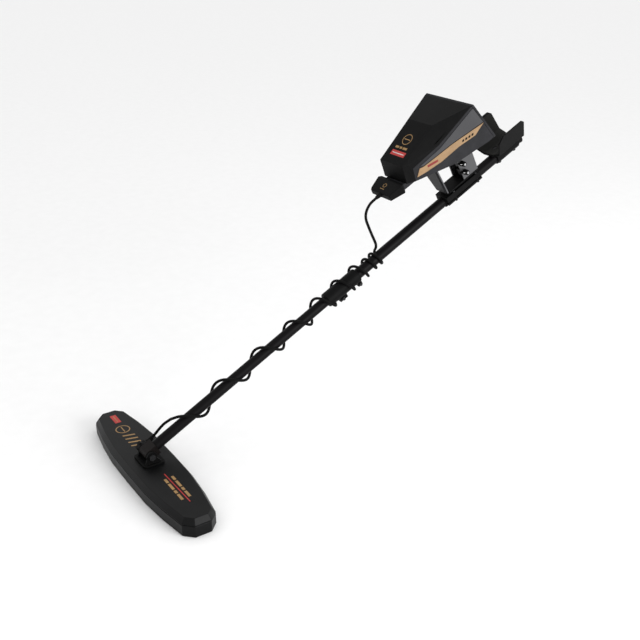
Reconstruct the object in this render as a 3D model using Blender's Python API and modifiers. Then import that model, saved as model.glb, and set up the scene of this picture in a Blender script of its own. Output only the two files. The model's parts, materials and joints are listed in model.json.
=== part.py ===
"""Metal detector: search coil, telescoping shaft, raised control box and forearm cuff.

World frame in metres: the origin is the middle of the hand grip (the stand's front leg), +X is the
user's left, +Y runs to the rear (towards the elbow) and +Z is up. The coil lies level and the
shaft rises to the rear by RAKE.

Most pieces are placed in the shaft frame, whose origin is the shaft's axis just above the coil:
x across, s along the shaft towards the rear, and u square to the shaft on the control box's side.
"""
import math

import bmesh
import bpy
from mathutils import Matrix, Vector

# ---------------------------------------------------------------- driving dimensions (metres)
GAP = 0.0003                    # clearance between two pieces that rest on each other
RAKE = math.radians(27.8)       # angle of the shaft above the level coil
GRIP_S, GRIP_U = 0.843, 0.060   # the hand grip's middle, in the shaft frame

LOWER_RADIUS, LOWER_BORE = 0.0110, 0.0100
UPPER_RADIUS, UPPER_BORE = 0.0119, 0.0113
LOWER_START, LOWER_END = 0.0143, 0.7300
UPPER_START, UPPER_END = 0.5050, 1.0880
ROUND = 32                      # facets round a tube

PIVOT_S = -0.006                # coil pivot, on the shaft's axis
PIVOT_BOLT_RADIUS = 0.0040
YOKE_HALF_WIDTH = 0.0150
YOKE_RADIUS = 0.0112
EAR_INSIDE, EAR_OUTSIDE = 0.0170, 0.0220

COIL_TOP, COIL_SEAM, COIL_BOTTOM = -0.0214, -0.0344, -0.0596
COIL_LID_INSET = 0.0075         # how far the lid's sloping sides lean in
COIL_WALL = 0.0028
COIL_CORNERS = ((0.0, 0.0530), (0.084, 0.0520), (0.150, 0.0455), (0.2124, 0.0352), (0.2306, 0.0171))

CLAMP_START, CLAMP_END = 0.483, 0.574
CLAMP_RADIUS = 0.0165
CLAMP_LUGS = ((0.5095, 0.5300, 0.5180), (0.5630, 0.5740, 0.5685))   # start, end, screw station
LUG_DEPTH = 0.0235

CABLE_RADIUS = 0.0030
WIND_RADIUS = 0.0178            # centreline of the cable wound loosely round the tubes
WIND_RADIUS_CLAMP = 0.0212      # where it passes over the clamp
WIND_RADIUS_TIGHT = 0.0162      # the last close turns
CROSSING = math.radians(37.4)    # angle round the shaft, from +x to +u, of each station below
TURN_STATIONS = (0.103, 0.2175, 0.320, 0.4057, 0.4775, 0.536, 0.584, 0.613, 0.6315, 0.648)
TAIL_TURN, SPLIT_TURN, LAST_TURN = -0.18, 3.86, 8.70
STEPS_PER_TURN = 14

SADDLE_START, SADDLE_END = 0.841, 0.948
SADDLE_BOLTS_S = (0.866, 0.936)
SADDLE_BOLT_X = 0.0166
BASE_HALF_WIDTH = 0.0200
BASE_U = (0.0203, 0.0243)
BASE_S = (0.8546, 0.9450)
LEG_LEAN = 0.17                 # front leg: metres forward per metre up
LEG_THICK = 0.0042
LEG_HALF_WIDTH = (0.0160, 0.0290)   # at the foot and at the box
REAR_LEG_S = (0.9005, 0.9445)
REAR_LEG_HALF_WIDTH = 0.0200
REAR_LEG_WALL = 0.0030
KNOB_S, KNOB_U = 0.9085, (0.0640, 0.0410)
KNOB_LEAN = math.radians(148)   # where the pointers aim at rest, from +s towards +u
KNOB_REACH = 0.0140

BOX_HALF_REAR = 0.0755
BOX_HALF_NOSE = 0.0380
BOX_NOSE_S = 0.7550
BOX_FLANK_START = (0.0425, 0.772)
BOX_FLANK_END = (0.0755, 0.955)
BOX_ROOF = ((0.9477, 0.2034), (0.859, 0.2034), (0.7577, 0.1688))
BOX_FLOOR = ((0.7526, 0.1284), (0.771, 0.1225), (0.868, 0.1035), (0.9770, 0.1040))
BOX_WALL = 0.0026
BEZEL_THICK = 0.0050
SHOULDER_REAR = (0.0755, 0.9477, 0.2034)     # corners of the two facets beside the roof
SHOULDER_FOLD = (0.0390, 0.8590, 0.2034)
SHOULDER_NOSE = (0.0380, 0.7577, 0.1688)
SHOULDER_CREASE = (0.0565, 0.8460, 0.1655)
PANEL_SIZE = (0.1364, 0.0890)
WINDOW_SIZE = (0.0920, 0.0500)
WINDOW_Y = 0.0150
KEY_SIZE = (0.0150, 0.0090)
KEY_X = (0.040, 0.014, -0.012)
KEY_Y = -0.0290
POWER_X, POWER_RADIUS = -0.0480, 0.0068

PLUG_FRONT, PLUG_BACK = 0.7050, 0.7442

CUFF_S = (0.9960, 1.0770)
CUFF_SECTION = ((0.0, 0.0156), (0.0150, 0.0156), (0.0400, 0.0255), (0.0555, 0.0735))
CUFF_THICK = 0.0030
CUFF_SLEEVE_S = (1.0080, 1.0770)
CUFF_BOLTS_S = (1.0200, 1.0680)
CUFF_BOLT_RADIUS = 0.0024


# ---------------------------------------------------------------- scene, materials and helpers
def clear_scene():
    for item in list(bpy.data.objects):
        bpy.data.objects.remove(item, do_unlink=True)


def new_collection(name):
    made = bpy.data.collections.new(name)
    bpy.context.scene.collection.children.link(made)
    return made


clear_scene()
PARTS = new_collection("metal_detector")
CUTTERS = new_collection("cutters")


def material(name, colour, roughness, metallic=0.0):
    made = bpy.data.materials.new(name)
    made.use_nodes = True
    shader = made.node_tree.nodes["Principled BSDF"]
    shader.inputs["Base Color"].default_value = (*colour, 1.0)
    shader.inputs["Roughness"].default_value = roughness
    shader.inputs["Metallic"].default_value = metallic
    made.diffuse_color = (*colour, 1.0)
    return made


BLACK = material("black_plastic", (0.020, 0.020, 0.021), 0.50)
SATIN = material("satin_black_tube", (0.022, 0.021, 0.024), 0.36, 0.3)
RUBBER = material("black_rubber", (0.012, 0.012, 0.012), 0.75)
GREY = material("dark_grey_plastic", (0.045, 0.045, 0.048), 0.45)
LIGHT = material("light_grey_panel", (0.130, 0.130, 0.135), 0.38)
ALLOY = material("aluminium", (0.42, 0.42, 0.43), 0.34, 1.0)
STEEL = material("bright_steel", (0.60, 0.60, 0.60), 0.28, 1.0)
COPPER = material("copper_winding", (0.55, 0.26, 0.12), 0.40, 1.0)
BOARD = material("circuit_board", (0.02, 0.12, 0.05), 0.50)
TAN = material("tan_band", (0.38, 0.23, 0.11), 0.45)
GLASS = material("display_glass", (0.03, 0.04, 0.05), 0.08)
FOAM = material("cuff_foam", (0.035, 0.035, 0.031), 0.90)
CELL = material("battery_wrap", (0.05, 0.09, 0.20), 0.45)


def empty(name, matrix, parent=None):
    made = bpy.data.objects.new(name, None)
    PARTS.objects.link(made)
    made.parent = parent
    made.matrix_local = matrix
    return made


def on_shaft(s, u):
    """The world place of a point on the shaft frame's middle plane."""
    ahead, above = s - GRIP_S, u - GRIP_U
    return Vector((0.0, ahead * math.cos(RAKE) - above * math.sin(RAKE),
                   ahead * math.sin(RAKE) + above * math.cos(RAKE)))


ORIGIN = on_shaft(0.0, 0.0)
LEVEL = empty("coil_frame", Matrix.Translation(ORIGIN))
SHAFT = empty("shaft_frame", Matrix.Translation(ORIGIN) @ Matrix.Rotation(RAKE, 4, "X"))

# Local axes of an outline: (first, second, thickness) to (x, s, u)
SIDE = Matrix(((0, 0, 1, 0), (1, 0, 0, 0), (0, 1, 0, 0), (0, 0, 0, 1)))
FRONT = Matrix(((1, 0, 0, 0), (0, 0, -1, 0), (0, 1, 0, 0), (0, 0, 0, 1)))
PLAN = Matrix.Identity(4)
ALONG_X = Matrix.Rotation(math.pi / 2, 4, "Y")
ALONG_S = Matrix.Rotation(-math.pi / 2, 4, "X")


def place(obj, name, paint, parent, angle=35.0):
    """Names an object, gives it its material and parent, and shades its round faces smooth."""
    obj.name = name
    obj.data.name = name
    for holder in list(obj.users_collection):
        holder.objects.unlink(obj)
    PARTS.objects.link(obj)
    obj.parent = parent
    obj.data.materials.clear()
    obj.data.materials.append(paint)
    if obj.type == "MESH":
        obj.data.shade_smooth()
        obj.data.set_sharp_from_angle(angle=math.radians(angle))
    return obj


def from_bmesh(shape, matrix=None):
    """A new mesh object from a bmesh, with its faces pointing out."""
    if matrix is not None:
        bmesh.ops.transform(shape, matrix=matrix, verts=shape.verts)
    mesh = bpy.data.meshes.new("shape")
    shape.to_mesh(mesh)
    shape.free()
    made = bpy.data.objects.new("shape", mesh)
    bpy.context.scene.collection.objects.link(made)
    return made


def block(low, high):
    """A box between two corners."""
    shape = bmesh.new()
    bmesh.ops.create_cube(shape, size=1.0)
    size = [b - a for a, b in zip(low, high)]
    middle = [(a + b) / 2 for a, b in zip(low, high)]
    bmesh.ops.scale(shape, vec=size, verts=shape.verts)
    bmesh.ops.translate(shape, vec=middle, verts=shape.verts)
    return from_bmesh(shape)


def rod(radius, start, end, direction, centre=(0.0, 0.0, 0.0), segments=24, end_radius=None):
    """A cylinder, or a cone with end_radius, along a direction matrix's Z from start to end."""
    shape = bmesh.new()
    bmesh.ops.create_cone(shape, cap_ends=True, segments=segments, radius1=radius,
                          radius2=radius if end_radius is None else end_radius, depth=end - start)
    bmesh.ops.translate(shape, vec=(0, 0, (start + end) / 2), verts=shape.verts)
    return from_bmesh(shape, Matrix.Translation(centre) @ direction)


def turned(profile, direction, centre=(0.0, 0.0, 0.0), steps=ROUND):
    """A turned solid: a closed (radius, height) loop whose outer side runs top to bottom."""
    mesh = bpy.data.meshes.new("profile")
    points = [(r, 0.0, z) for r, z in profile]
    mesh.from_pydata(points, [(i, (i + 1) % len(points)) for i in range(len(points))], [])
    made = bpy.data.objects.new("profile", mesh)
    bpy.context.scene.collection.objects.link(made)
    screw = made.modifiers.new("turn", "SCREW")
    screw.steps = steps
    screw.render_steps = steps
    screw.use_merge_vertices = True
    screw.merge_threshold = 0.00001
    return settle(made, Matrix.Translation(centre) @ direction)


def settle(obj, matrix=None, weld=0.000005):
    """Replaces a curve, or an object with modifiers, by its welded mesh."""
    bpy.context.view_layer.update()
    evaluated = obj.evaluated_get(bpy.context.evaluated_depsgraph_get())
    mesh = bpy.data.meshes.new_from_object(evaluated)
    bpy.data.objects.remove(obj, do_unlink=True)
    shape = bmesh.new()
    shape.from_mesh(mesh)
    if weld > 0:
        bmesh.ops.remove_doubles(shape, verts=shape.verts, dist=weld)
        bmesh.ops.recalc_face_normals(shape, faces=shape.faces)
    bpy.data.meshes.remove(mesh)
    return from_bmesh(shape, matrix)


def extruded(outline, low, high, view, holes=()):
    """A flat outline, with holes, given thickness from low to high along the view's third axis."""
    curve = bpy.data.curves.new("outline", "CURVE")
    curve.dimensions = "2D"
    curve.fill_mode = "BOTH"
    curve.extrude = (high - low) / 2
    for loop in (outline, *holes):
        spline = curve.splines.new("POLY")
        spline.points.add(len(loop) - 1)
        for point, (a, b) in zip(spline.points, loop):
            point.co = (a, b, 0.0, 1.0)
        spline.use_cyclic_u = True
    made = bpy.data.objects.new("outline", curve)
    bpy.context.scene.collection.objects.link(made)
    middle = (low + high) / 2
    return settle(made, view @ Matrix.Translation((0, 0, -middle if view is FRONT else middle)))


def tube_along(points, radius):
    """A round cable through points, with closed ends."""
    curve = bpy.data.curves.new("route", "CURVE")
    curve.dimensions = "3D"
    curve.bevel_depth = radius
    curve.bevel_resolution = 2
    curve.use_fill_caps = True
    spline = curve.splines.new("POLY")
    spline.points.add(len(points) - 1)
    for point, place_at in zip(spline.points, points):
        point.co = (*place_at, 1.0)
    made = bpy.data.objects.new("route", curve)
    bpy.context.scene.collection.objects.link(made)
    return settle(made)


def combine(obj, other, operation="UNION"):
    """Adds a Boolean with another object, which becomes a hidden cutter."""
    for holder in list(other.users_collection):
        holder.objects.unlink(other)
    CUTTERS.objects.link(other)
    other.hide_render = True
    other.display_type = "WIRE"
    boolean = obj.modifiers.new(operation.lower(), "BOOLEAN")
    boolean.operation = operation
    boolean.object = other
    boolean.solver = "EXACT"
    return obj


def built(obj, *steps):
    """Works out a chain of (operation, cutter) steps, and removes the cutters."""
    for operation, other in steps:
        combine(obj, other, operation)
    made = settle(obj, weld=0.0)
    for _, other in steps:
        bpy.data.objects.remove(other, do_unlink=True)
    return made


def copy_of(obj):
    made = obj.copy()
    made.data = obj.data.copy()
    bpy.context.scene.collection.objects.link(made)
    return made


def bevelled(obj, width, segments=1, angle=30.0):
    bevel = obj.modifiers.new("edges", "BEVEL")
    bevel.width = width
    bevel.segments = segments
    bevel.limit_method = "ANGLE"
    bevel.angle_limit = math.radians(angle)
    return obj


def arc(centre, radius, start, end, steps):
    """Points of an arc in degrees, both ends included."""
    angles = [math.radians(start + (end - start) * i / steps) for i in range(steps + 1)]
    return [(centre[0] + radius * math.cos(a), centre[1] + radius * math.sin(a)) for a in angles]


def mirrored(half):
    """A closed outline from its +x half, given from bottom to top or along its side."""
    return [*half, *[(-a, b) for a, b in reversed(half) if a > 0.00001]]


def rounded_rectangle(width, height, radius, centre=(0.0, 0.0), steps=4):
    x, y = width / 2 - radius, height / 2 - radius
    corners = ((x, y, 0), (-x, y, 90), (-x, -y, 180), (x, -y, 270))
    return [p for cx, cy, a in corners
            for p in arc((centre[0] + cx, centre[1] + cy), radius, a, a + 90, steps)]


def smooth_path(route, spacing):
    """Points read every spacing metres from a smooth curve through the route's own points."""
    points = [Vector(p) for p in route]
    points = [2 * points[0] - points[1], *points, 2 * points[-1] - points[-2]]
    fine = []
    for a, b, c, d in zip(points, points[1:], points[2:], points[3:]):
        for i in range(24):
            t = i / 24
            fine.append(0.5 * (2 * b + (c - a) * t + (2 * a - 5 * b + 4 * c - d) * t * t
                               + (3 * b - a - 3 * c + d) * t ** 3))
    fine.append(points[-2])
    total = sum((b - a).length for a, b in zip(fine, fine[1:]))
    count = max(2, round(total / spacing))
    picked, walked, target = [fine[0]], 0.0, total / count
    for a, b in zip(fine, fine[1:]):
        step = (b - a).length
        while len(picked) < count and walked + step >= target * len(picked):
            picked.append(a.lerp(b, (target * len(picked) - walked) / step))
        walked += step
    return [*picked, fine[-1]]


# ---------------------------------------------------------------- search coil
def coil_outline(inset):
    """The coil's plan, pulled in by inset on every side."""
    quarter = [(x, y) for x, y in COIL_CORNERS]
    right = [*quarter, *[(x, -y) for x, y in reversed(quarter)]]
    loop = [*right, *[(-x, y) for x, y in reversed(right) if x > 0.0]]
    pulled = []
    for i, here in enumerate(loop):
        before, after = Vector(loop[i - 1]), Vector(loop[(i + 1) % len(loop)])
        along = [(Vector(here) - before).normalized(), (after - Vector(here)).normalized()]
        inward = [Vector((d.y, -d.x)) for d in along]
        bisector = (inward[0] + inward[1]).normalized()
        pulled.append(tuple(Vector(here) + bisector * inset / bisector.dot(inward[0])))
    return pulled


def coil_block(levels):
    """A body through the coil's outline at several (height, inset) levels, from the lowest up."""
    shape = bmesh.new()
    rings = [[shape.verts.new((x, y, z)) for x, y in coil_outline(inset)] for z, inset in levels]
    for lower, upper in zip(rings, rings[1:]):
        for i in range(len(lower)):
            j = (i + 1) % len(lower)
            shape.faces.new((lower[i], lower[j], upper[j], upper[i]))
    shape.faces.new(rings[0])
    shape.faces.new(rings[-1])
    bmesh.ops.recalc_face_normals(shape, faces=shape.faces)
    return from_bmesh(shape)


def coil_shells():
    seam, rim = COIL_SEAM + GAP / 2, 0.0012
    top = built(coil_block([(seam, rim), (seam + rim, 0.0), (COIL_TOP, COIL_LID_INSET)]),
                ("DIFFERENCE", extruded(coil_outline(COIL_WALL + COIL_LID_INSET), COIL_SEAM - 0.01,
                                        COIL_TOP - COIL_WALL, PLAN)))
    place(top, "coil_top_shell", BLACK, LEVEL)
    seam = COIL_SEAM - GAP / 2
    bottom = built(coil_block([(COIL_BOTTOM, 0.0012), (COIL_BOTTOM + 0.0012, 0.0), (seam - rim, 0.0),
                               (seam, rim)]),
                   ("DIFFERENCE", extruded(coil_outline(COIL_WALL), COIL_BOTTOM + COIL_WALL,
                                           COIL_SEAM + 0.01, PLAN)))
    place(bottom, "coil_bottom_shell", BLACK, LEVEL)


def racetrack(half_length, half_width, steps=7):
    """A closed loop with half-round ends."""
    straight = half_length - half_width
    return [*arc((straight, 0), half_width, -90, 90, steps),
            *arc((-straight, 0), half_width, 90, 270, steps)]


def winding(name, half_length, half_width, radius):
    """A flat wound loop of insulated wire with a rectangular section."""
    height = COIL_BOTTOM + COIL_WALL + GAP
    outer = racetrack(half_length, half_width)
    inner = racetrack(half_length - 2 * radius, half_width - 2 * radius)
    made = extruded(outer, height, height + 2 * radius, PLAN, (inner,))
    place(made, name, COPPER, LEVEL)


def coil_bracket():
    """Base flange and two ears that hold the pivot bolt."""
    base_top = COIL_TOP + GAP + 0.0040
    pivot = (PIVOT_S * math.cos(RAKE), PIVOT_S * math.sin(RAKE))
    ear = [(-0.0200, base_top - 0.001), (0.0150, base_top - 0.001),
           *arc(pivot, 0.0110, -20, 200, 10)]
    flange = extruded(rounded_rectangle(0.056, 0.046, 0.007, (0.0, -0.0025)),
                      COIL_TOP + GAP, base_top, PLAN)
    made = built(flange,
                 ("UNION", extruded(ear, EAR_INSIDE, EAR_OUTSIDE, SIDE)),
                 ("UNION", extruded(ear, -EAR_OUTSIDE, -EAR_INSIDE, SIDE)),
                 ("DIFFERENCE", rod(PIVOT_BOLT_RADIUS + GAP, -0.03, 0.03, ALONG_X, (0.0, *pivot))))
    place(made, "coil_bracket", BLACK, LEVEL)


def pivot_fittings():
    centre = (0.0, PIVOT_S, 0.0)
    shank = rod(PIVOT_BOLT_RADIUS, -0.0345, EAR_OUTSIDE + 0.0008, ALONG_X, centre)
    head = rod(0.0068, EAR_OUTSIDE + GAP, EAR_OUTSIDE + 0.0046, ALONG_X, centre, 6)
    place(built(shank, ("UNION", head)), "pivot_bolt", STEEL, SHAFT)
    for side, word in ((1, "left"), (-1, "right")):
        low, high = sorted((side * (YOKE_HALF_WIDTH + GAP), side * (EAR_INSIDE - GAP)))
        ring = [(0.0095, high), (0.0095, low), (PIVOT_BOLT_RADIUS + GAP, low),
                (PIVOT_BOLT_RADIUS + GAP, high)]
        place(turned(ring, ALONG_X, centre, 24), "pivot_washer_" + word, RUBBER, SHAFT)
    lobes = [(radius * math.cos(a), radius * math.sin(a)) for i in range(40)
             for a in (2 * math.pi * i / 40,)
             for radius in (0.0110 + 0.0016 * math.cos(5 * a),)]
    hole = [(p[0], p[1]) for p in arc((0, 0), PIVOT_BOLT_RADIUS + GAP, 0, 345, 23)]
    knob = extruded(lobes, EAR_OUTSIDE + GAP, EAR_OUTSIDE + 0.0098, PLAN, (hole,))
    knob.data.transform(Matrix.Translation(centre) @ Matrix.Rotation(-math.pi / 2, 4, "Y"))
    place(bevelled(knob, 0.0008, 1, 50), "pivot_nut", BLACK, SHAFT)


def coil_gland():
    """Strain relief where the cable leaves the coil, near its rear edge."""
    start, aim = Vector(TAIL_ROUTE[0]), (Vector(TAIL_ROUTE[1]) - Vector(TAIL_ROUTE[0])).normalized()
    direction = aim.to_track_quat("Z", "Y").to_matrix().to_4x4()
    low, high = -0.0200, -GAP
    profile = [(0.0, high), (CABLE_RADIUS + 0.0008, high), (0.0052, -0.0120), (0.0052, low), (0.0, low)]
    sleeve = turned_solid(profile, direction, start)
    foot = rod(0.0092, COIL_TOP - 0.0060, COIL_TOP + 0.0030, PLAN, (start.x, start.y - 0.0080, 0.0), 20)
    made = built(sleeve, ("UNION", foot),
                 ("DIFFERENCE", block((start.x - 0.03, start.y - 0.04, COIL_TOP - 0.05),
                                      (start.x + 0.03, start.y + 0.03, COIL_TOP + GAP))))
    place(made, "coil_cable_gland", RUBBER, LEVEL)


def turned_solid(profile, direction, centre, steps=20):
    """A turned solid whose profile starts and ends on its axis."""
    mesh = bpy.data.meshes.new("profile")
    mesh.from_pydata([(r, 0.0, z) for r, z in profile],
                     [(i, i + 1) for i in range(len(profile) - 1)], [])
    made = bpy.data.objects.new("profile", mesh)
    bpy.context.scene.collection.objects.link(made)
    screw = made.modifiers.new("turn", "SCREW")
    screw.steps = steps
    screw.render_steps = steps
    screw.use_merge_vertices = True
    screw.merge_threshold = 0.00001
    return settle(made, Matrix.Translation(centre) @ direction)


# ---------------------------------------------------------------- cable
def level_point(x, y, z):
    """A point given in the level coil frame, in shaft coordinates."""
    return Vector((x, y * math.cos(RAKE) + z * math.sin(RAKE), -y * math.sin(RAKE) + z * math.cos(RAKE)))


def wind_station(turn):
    """Where along the shaft the cable is after so many turns, on a smooth curve."""
    last = len(TURN_STATIONS) - 1
    i = min(max(math.floor(turn), 0), last - 1)
    t = turn - i
    at = [TURN_STATIONS[min(max(k, 0), last)] for k in range(i - 1, i + 3)]
    if i == 0:
        at[0] = 2 * at[1] - at[2]
    if i == last - 1:
        at[3] = 2 * at[2] - at[1]
    a, b, c, d = at
    return 0.5 * (2 * b + (c - a) * t + (2 * a - 5 * b + 4 * c - d) * t * t
                  + (3 * b - a - 3 * c + d) * t ** 3)


def ease(value, low, high):
    t = min(max((value - low) / (high - low), 0.0), 1.0)
    return t * t * (3 - 2 * t)


def wind_radius(station):
    """Loose on the lower tube, wider over the clamp and closer after it."""
    onto = ease(station, CLAMP_START - 0.036, CLAMP_START - 0.009)
    off = ease(station, CLAMP_END + 0.005, CLAMP_END + 0.030)
    radius = WIND_RADIUS + (WIND_RADIUS_CLAMP - WIND_RADIUS) * onto
    return radius + (WIND_RADIUS_TIGHT - WIND_RADIUS_CLAMP) * off


def wind_point(turn):
    station = wind_station(turn)
    angle = CROSSING - 2 * math.pi * turn
    radius = wind_radius(station)
    return Vector((radius * math.cos(angle), station, radius * math.sin(angle)))


def wind_points(start, end):
    count = round((end - start) * STEPS_PER_TURN)
    return [wind_point(start + (end - start) * i / count) for i in range(count + 1)]


TAIL_ROUTE = ((-0.0610, 0.0322, -0.0116), (-0.0588, 0.0387, -0.0045), (-0.0550, 0.0485, 0.0080),
              (-0.0495, 0.0550, 0.0178), (-0.0400, 0.0592, 0.0275), (-0.0265, 0.0620, 0.0388))
LEAD_ROUTE = ((-0.0050, 0.6455, 0.0200), (0.0000, 0.6465, 0.0330), (0.0000, 0.6470, 0.0540),
              (0.0000, 0.6480, 0.0790), (0.0000, 0.6500, 0.0985), (0.0000, 0.6575, 0.1125),
              (0.0000, 0.6730, 0.1220))


def square_end(turn, side):
    """The last points of a length cut square at a turn, on its side (-1 or 1) of the cut."""
    here = wind_point(turn)
    along = (wind_point(turn + 0.01) - wind_point(turn - 0.01)).normalized() * side
    return [here + along * reach for reach in (0.0080, GAP / 2 + 0.0012, GAP / 2)]


def cable():
    """The cable in three lengths: coil to lower tube, wound on it, and on to the plug."""
    route = [level_point(*p) for p in TAIL_ROUTE]
    lead_in, ahead, cut = square_end(TAIL_TURN, -1)
    tail = smooth_path([*route, lead_in, ahead], 2.2 * CABLE_RADIUS * 2)
    place(tube_along([*tail, cut], CABLE_RADIUS), "cable_tail", RUBBER, SHAFT)

    first, last = square_end(TAIL_TURN, 1)[1:], square_end(SPLIT_TURN, -1)[1:]
    wound = wind_points(TAIL_TURN, SPLIT_TURN)
    wound = [*reversed(first), *wound[1:-1], *last]
    place(tube_along(wound, CABLE_RADIUS), "cable_winding", RUBBER, SHAFT)

    wound = wind_points(SPLIT_TURN, LAST_TURN)
    lead = smooth_path([wound[-2], wound[-1], *LEAD_ROUTE, plug_tail()], 2.2 * CABLE_RADIUS * 2)
    lead = [p for p in lead if (p - wound[-2]).length > 0.9 * (wound[-1] - wound[-2]).length]
    wound = [*reversed(square_end(SPLIT_TURN, 1)[1:]), *wound[1:-1], *lead]
    place(tube_along(wound, CABLE_RADIUS), "cable_lead", RUBBER, SHAFT)


# ---------------------------------------------------------------- shaft
def tubes():
    lower = [(LOWER_RADIUS, LOWER_END), (LOWER_RADIUS, LOWER_START), (LOWER_BORE, LOWER_START),
             (LOWER_BORE, LOWER_END)]
    place(turned(lower, ALONG_S), "lower_rod", SATIN, SHAFT)
    upper = [(UPPER_RADIUS, UPPER_END), (UPPER_RADIUS, UPPER_START), (UPPER_BORE, UPPER_START),
             (UPPER_BORE, UPPER_END)]
    holes = [("DIFFERENCE", rod(CUFF_BOLT_RADIUS + GAP, -0.03, 0.03, PLAN, (0.0, s, 0.0), 12))
             for s in CUFF_BOLTS_S]
    place(built(turned(upper, ALONG_S), *holes), "upper_tube", SATIN, SHAFT)
    cap = [(0.0, UPPER_END + 0.0045), (0.0100, UPPER_END + 0.0045),
           (UPPER_RADIUS + 0.0006, UPPER_END + 0.0030), (UPPER_RADIUS + 0.0006, UPPER_END + GAP),
           (UPPER_BORE - GAP, UPPER_END + GAP), (UPPER_BORE - GAP, UPPER_END - 0.012),
           (0.0, UPPER_END - 0.012)]
    place(turned_solid(cap, ALONG_S, (0, 0, 0)), "tube_end_cap", RUBBER, SHAFT)


def rod_yoke():
    """Tongue between the coil's ears, with a spigot inside the lower tube."""
    side = [*arc((PIVOT_S, 0.0), YOKE_RADIUS, 90, 270, 12), (0.0140, -YOKE_RADIUS), (0.0140, YOKE_RADIUS)]
    tongue = extruded(side, -YOKE_HALF_WIDTH, YOKE_HALF_WIDTH, SIDE)
    made = built(tongue,
                 ("UNION", rod(LOWER_BORE - GAP, 0.010, 0.055, ALONG_S)),
                 ("DIFFERENCE", rod(PIVOT_BOLT_RADIUS + GAP, -0.03, 0.03, ALONG_X, (0.0, PIVOT_S, 0.0))))
    place(bevelled(made, 0.0010, 1, 40), "rod_yoke", GREY, SHAFT)


def clamp():
    """Split sleeve that grips the lower tube, with two pinch lugs underneath."""
    step = UPPER_START - GAP
    ring = [(CLAMP_RADIUS - 0.0012, CLAMP_END), (CLAMP_RADIUS, CLAMP_END - 0.0020),
            (CLAMP_RADIUS, CLAMP_START + 0.0020), (CLAMP_RADIUS - 0.0012, CLAMP_START),
            (LOWER_RADIUS + GAP, CLAMP_START), (LOWER_RADIUS + GAP, step),
            (UPPER_RADIUS + GAP, step), (UPPER_RADIUS + GAP, CLAMP_END)]
    steps = []
    for start, end, _ in CLAMP_LUGS:
        steps.append(("UNION", block((-0.0085, start, -LUG_DEPTH), (0.0085, end, -0.0140))))
    bore = rod(UPPER_RADIUS + GAP, step, CLAMP_END + 0.01, ALONG_S, segments=ROUND)
    steps.append(("DIFFERENCE", bore))
    slit = block((-0.0010, CLAMP_START - 0.01, -0.03), (0.0010, CLAMP_END + 0.01, -0.0050))
    steps.append(("DIFFERENCE", slit))
    for _, _, station in CLAMP_LUGS:
        steps.append(("DIFFERENCE", rod(0.0022 + GAP, -0.02, 0.02, ALONG_X, (0, station, -0.0196), 16)))
    place(built(turned(ring, ALONG_S), *steps), "clamp_sleeve", BLACK, SHAFT)
    for number, (_, _, station) in enumerate(CLAMP_LUGS, 1):
        centre = (0.0, station, -0.0196)
        screw = built(rod(0.0022, -0.0105, 0.0105, ALONG_X, centre, 16),
                      ("UNION", rod(0.0036, 0.0085 + GAP, 0.0118, ALONG_X, centre, 16)),
                      ("UNION", rod(0.0038, -0.0116, -0.0085 - GAP, ALONG_X, centre, 6)))
        place(screw, f"clamp_screw_{number}", STEEL, SHAFT)


# ---------------------------------------------------------------- stand
def floor_height(s):
    """The box's underside above the shaft, at a station."""
    for (s0, u0), (s1, u1) in zip(BOX_FLOOR, BOX_FLOOR[1:]):
        if s0 <= s <= s1:
            return u0 + (u1 - u0) * (s - s0) / (s1 - s0)
    return BOX_FLOOR[-1][1]


def saddle():
    """Clamp halves that hold the stand on the upper tube."""
    start, end = SADDLE_START, SADDLE_END
    bolt_at = [(x, s) for x in (-SADDLE_BOLT_X, SADDLE_BOLT_X) for s in SADDLE_BOLTS_S]
    bolt_holes = [("DIFFERENCE", rod(0.0018 + GAP, -0.03, 0.03, PLAN, (x, s, 0.0), 12))
                  for x, s in bolt_at]
    tube_bore = ("DIFFERENCE", rod(UPPER_RADIUS + GAP, start - 0.01, end + 0.01, ALONG_S,
                                   segments=ROUND))
    upper = built(block((-0.0196, start, 0.0012), (0.0196, end, 0.0150)),
                  ("UNION", block((-0.0132, start + 0.012, 0.010), (0.0132, end - 0.004,
                                                                    BASE_U[0] - GAP))),
                  tube_bore, *bolt_holes)
    place(bevelled(upper, 0.0008, 1, 60), "saddle_upper", BLACK, SHAFT)
    bolt_holes = [("DIFFERENCE", rod(0.0018 + GAP, -0.03, 0.03, PLAN, (x, s, 0.0), 12))
                  for x, s in bolt_at]
    tube_bore = ("DIFFERENCE", rod(UPPER_RADIUS + GAP, start - 0.01, end + 0.01, ALONG_S,
                                   segments=ROUND))
    lower = built(rod(0.0146, start, end, ALONG_S, segments=ROUND),
                  ("UNION", block((-0.0196, start, -0.0060), (0.0196, end, 0.0060))),
                  ("DIFFERENCE", block((-0.03, start - 0.01, -0.0012), (0.03, end + 0.01, 0.03))),
                  tube_bore, *bolt_holes)
    place(lower, "saddle_lower", BLACK, SHAFT)
    for number, (x, s) in enumerate(bolt_at, 1):
        bolt = built(rod(0.0018, -0.0085, 0.0176, PLAN, (x, s, 0.0), 12),
                     ("UNION", rod(0.0029, -0.0092, -0.0060 - GAP, PLAN, (x, s, 0.0), 6)),
                     ("UNION", rod(0.0029, 0.0150 + GAP, 0.0178, PLAN, (x, s, 0.0), 12)))
        place(bolt, f"saddle_bolt_{number}", STEEL, SHAFT)


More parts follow.
